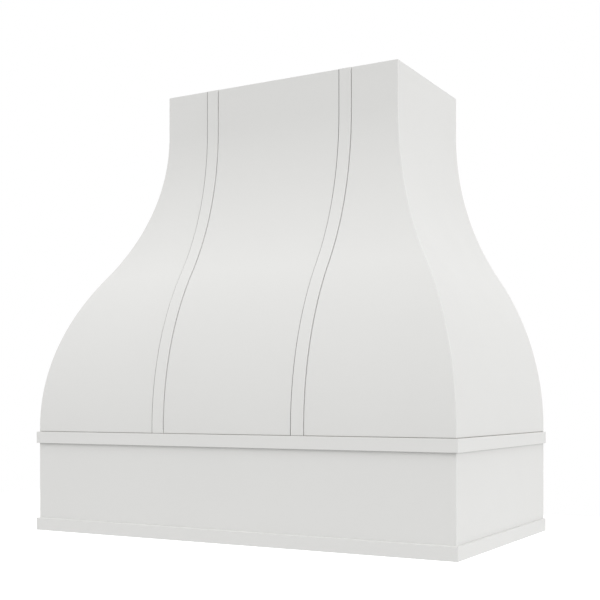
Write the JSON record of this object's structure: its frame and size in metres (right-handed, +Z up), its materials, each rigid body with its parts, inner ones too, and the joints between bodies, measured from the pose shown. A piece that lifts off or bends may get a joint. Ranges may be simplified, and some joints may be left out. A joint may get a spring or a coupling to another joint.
{
  "type": "range hood cover",
  "caption": "Bell-shaped wooden cover for a wall-mounted range hood, with a plain apron, two front straps, a ribbed frame and a cut-out for the insert.",
  "frame": {"origin": "middle of the footprint, level with the underside of the apron", "axes": "+X to the right seen from the room, +Y to the wall, +Z up"},
  "size_m": [0.924, 0.5002, 0.9144],
  "materials": {
    "painted_board": "white satin paint on poplar",
    "painted_trim": "white satin paint on poplar",
    "painted_skin": "white satin paint on bending plywood, bare inside",
    "painted_strap": "white satin paint on poplar",
    "bare_poplar": "bare planed poplar",
    "birch_plywood": "bare sanded birch plywood",
    "zinc_screw": "zinc plated"
  },
  "bodies": {
    "root": {"front_apron": "painted_board", "left_apron": "painted_board", "right_apron": "painted_board", "front_band": "painted_trim", "left_band": "painted_trim", "right_band": "painted_trim", "front_base_trim": "painted_trim", "left_base_trim": "painted_trim", "right_base_trim": "painted_trim", "front_panel": "painted_skin", "left_side_panel": "painted_skin", "right_side_panel": "painted_skin", "left_strap": "painted_strap", "right_strap": "painted_strap", "front_top_rail": "bare_poplar", "left_top_rail": "bare_poplar", "right_top_rail": "bare_poplar", "hanging_rail": "bare_poplar", "front_shelf_rail": "bare_poplar", "left_shelf_rail": "bare_poplar", "right_shelf_rail": "bare_poplar", "lower_wall_rail": "bare_poplar", "front_insert_cleat": "bare_poplar", "left_insert_cleat": "bare_poplar", "right_insert_cleat": "bare_poplar", "rear_insert_cleat": "bare_poplar", "left_corner_block": "bare_poplar", "right_corner_block": "bare_poplar", "left_front_rib": "birch_plywood", "center_front_rib": "birch_plywood", "right_front_rib": "birch_plywood", "left_side_rib": "birch_plywood", "right_side_rib": "birch_plywood", "left_hip_rib": "birch_plywood", "right_hip_rib": "birch_plywood", "left_wall_rib": "birch_plywood", "right_wall_rib": "birch_plywood", "insert_panel": "birch_plywood", "panel_screws": "zinc_screw", "cleat_screws": "zinc_screw", "rib_screws": "zinc_screw", "top_frame_screws": "zinc_screw"}
  },
  "joints": []
}
